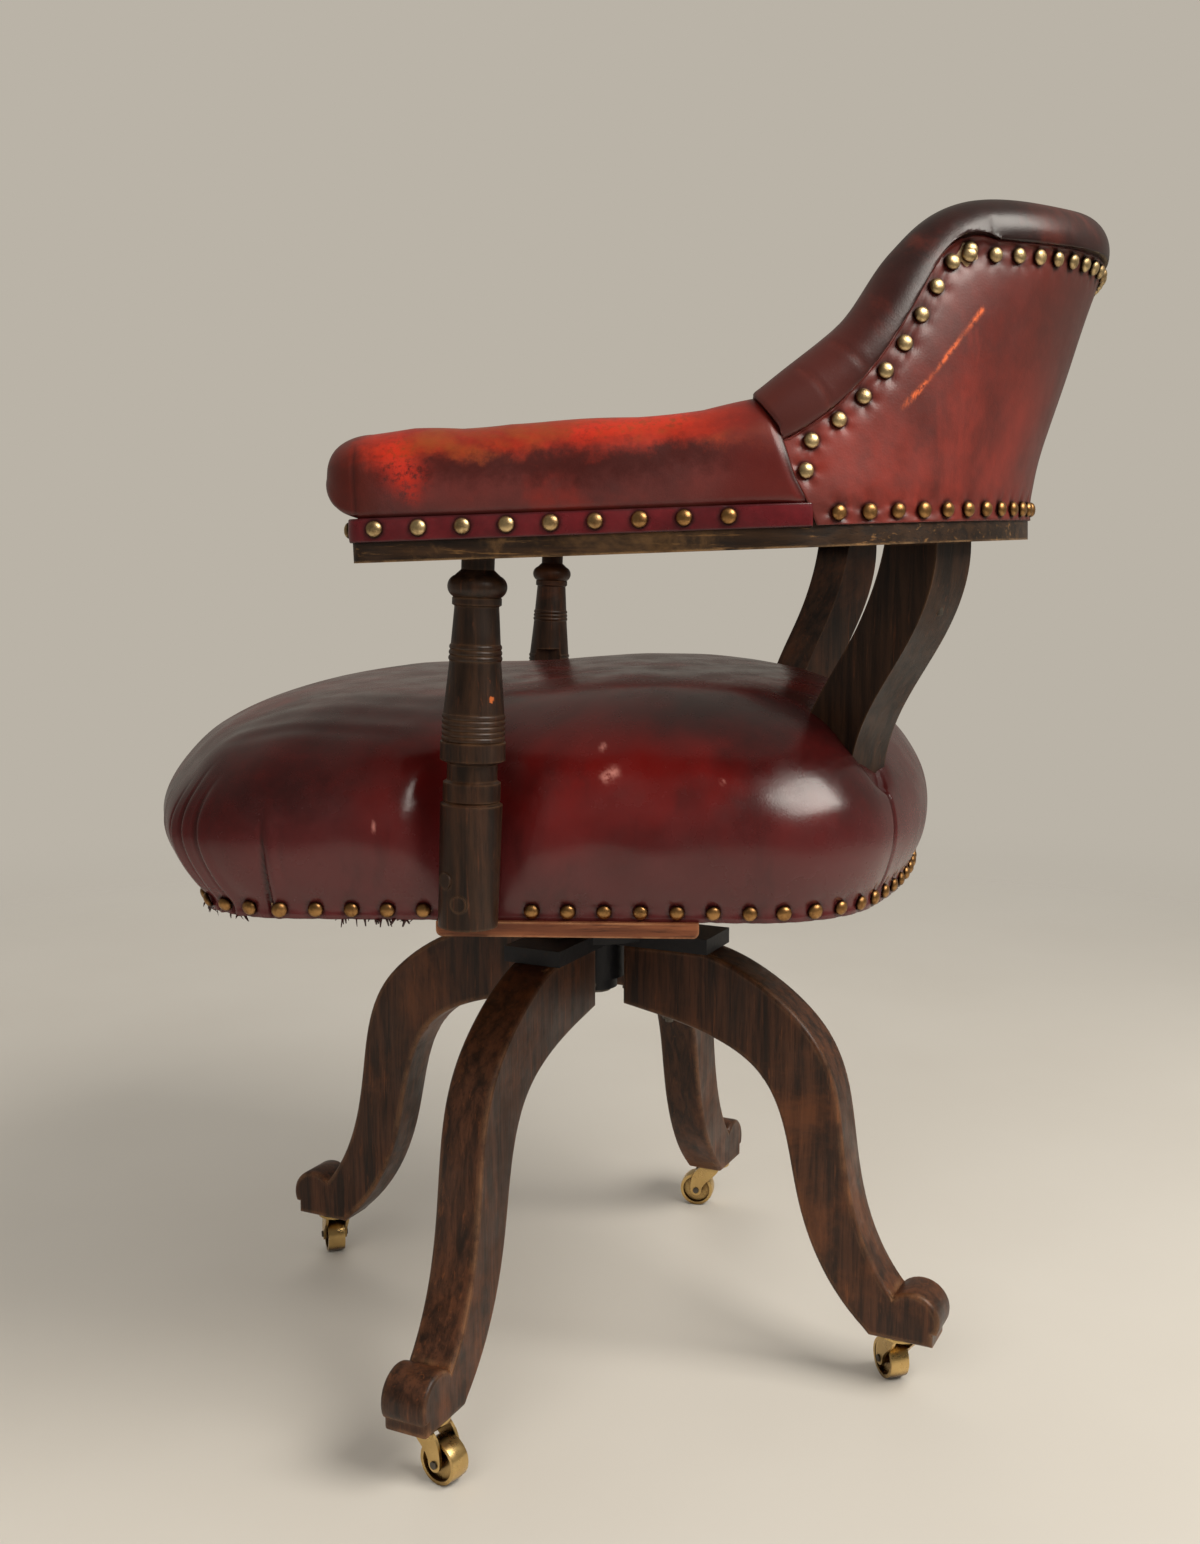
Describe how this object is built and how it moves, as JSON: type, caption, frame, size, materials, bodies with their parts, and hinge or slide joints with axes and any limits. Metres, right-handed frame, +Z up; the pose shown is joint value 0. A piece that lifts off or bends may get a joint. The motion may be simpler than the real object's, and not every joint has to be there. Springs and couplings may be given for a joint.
{
  "type": "bankers swivel chair",
  "caption": "Antique leather desk chair with a horseshoe arm bow and low padded back, turning on an iron hub over splayed wooden legs with brass casters.",
  "frame": {"origin": "point on the floor under the seat's swivel axis", "axes": "+Z up along the swivel axis, -Y the way the sitter faces, +X to the sitter's left"},
  "size_m": [0.661, 0.6727, 0.8485],
  "materials": {
    "oak_legs": "dark waxed oak, worn on the edges",
    "oak_posts": "nearly black turned oak, worn rings",
    "oak_bow": "dark oak with rubbed golden patches",
    "oak_board": "reddish brown board",
    "beech_frame": "raw hidden beech",
    "iron": "black painted casting",
    "steel": "dull steel",
    "caster_brass": "polished brass, darker in the recesses",
    "nail_brass": "antique brass",
    "leather_seat": "oxblood hide, glossy, creased",
    "leather_arms": "oxblood hide rubbed to orange red",
    "leather_band": "crimson hide",
    "leather_panel": "brownish red hide, rubbed",
    "leather_roll": "very dark oxblood hide, worn crest",
    "jute": "jute webbing",
    "hair": "curled hair stuffing"
  },
  "bodies": {
    "base": {"leg_left": "oak_legs", "leg_rear": "oak_legs", "leg_right": "oak_legs", "leg_front": "oak_legs", "spider": "iron", "leg_bolts": "steel", "caster_plates": "caster_brass", "caster_screws": "steel", "thrust_washer": "steel"},
    "caster_left": {"caster_fork_left": "caster_brass", "caster_axle_left": "steel"},
    "wheel_left": {"caster_wheel_left": "caster_brass"},
    "caster_rear": {"caster_fork_rear": "caster_brass", "caster_axle_rear": "steel"},
    "wheel_rear": {"caster_wheel_rear": "caster_brass"},
    "caster_right": {"caster_fork_right": "caster_brass", "caster_axle_right": "steel"},
    "wheel_right": {"caster_wheel_right": "caster_brass"},
    "caster_front": {"caster_fork_front": "caster_brass", "caster_axle_front": "steel"},
    "wheel_front": {"caster_wheel_front": "caster_brass"},
    "seat": {"arm_band_left": "leather_band", "arm_band_right": "leather_band", "arm_nails": "nail_brass", "arm_pad_left": "leather_arms", "arm_pad_right": "leather_arms", "arm_rail_left": "oak_bow", "arm_rail_right": "oak_bow", "back_frame": "beech_frame", "back_nails": "nail_brass", "back_pad": "leather_roll", "back_panel": "leather_panel", "back_rail": "oak_bow", "back_roll": "leather_roll", "board_screws": "steel", "bow_dowels": "beech_frame", "collar_pin": "steel", "post_left": "oak_posts", "post_plugs": "oak_posts", "post_right": "oak_posts", "post_screws": "steel", "retaining_collar": "iron", "seat_board": "oak_board", "seat_iron": "iron", "seat_iron_screws": "steel", "seat_leather": "leather_seat", "seat_nails": "nail_brass", "seat_rail_back": "beech_frame", "seat_rail_front": "beech_frame", "seat_rail_left": "beech_frame", "seat_rail_right": "beech_frame", "seat_springs": "steel", "seat_stuffing": "hair", "seat_webbing": "jute", "spindle": "steel", "upright_left": "oak_posts", "upright_right": "oak_posts", "upright_screws": "steel"}
  },
  "joints": [
    {"name": "seat_swivel", "type": "hinge", "parent": "base", "child": "seat", "pos_m": [0, 0, 0.342], "axis": [0, 0, 1], "continuous": true},
    {"name": "caster_swivel_left", "type": "hinge", "parent": "base", "child": "caster_left", "pos_m": [0.23862, -0.10326, 0.042], "axis": [0, 0, 1], "continuous": true},
    {"name": "wheel_spin_left", "type": "hinge", "parent": "caster_left", "child": "wheel_left", "pos_m": [0.24722, -0.09097, 0.016], "axis": [-0.8192, 0.5736, 0], "continuous": true},
    {"name": "caster_swivel_rear", "type": "hinge", "parent": "base", "child": "caster_rear", "pos_m": [0.10326, 0.23862, 0.042], "axis": [0, 0, 1], "continuous": true},
    {"name": "wheel_spin_rear", "type": "hinge", "parent": "caster_rear", "child": "wheel_rear", "pos_m": [0.08916, 0.23349, 0.016], "axis": [0.342, -0.9397, 0], "continuous": true},
    {"name": "caster_swivel_right", "type": "hinge", "parent": "base", "child": "caster_right", "pos_m": [-0.23862, 0.10326, 0.042], "axis": [0, 0, 1], "continuous": true},
    {"name": "wheel_spin_right", "type": "hinge", "parent": "caster_right", "child": "wheel_right", "pos_m": [-0.24122, 0.08849, 0.016], "axis": [0.9848, -0.1736, 0], "continuous": true},
    {"name": "caster_swivel_front", "type": "hinge", "parent": "base", "child": "caster_front", "pos_m": [-0.10326, -0.23862, 0.042], "axis": [0, 0, 1], "continuous": true},
    {"name": "wheel_spin_front", "type": "hinge", "parent": "caster_front", "child": "wheel_front", "pos_m": [-0.11735, -0.24375, 0.016], "axis": [0.342, -0.9397, 0], "continuous": true}
  ]
}
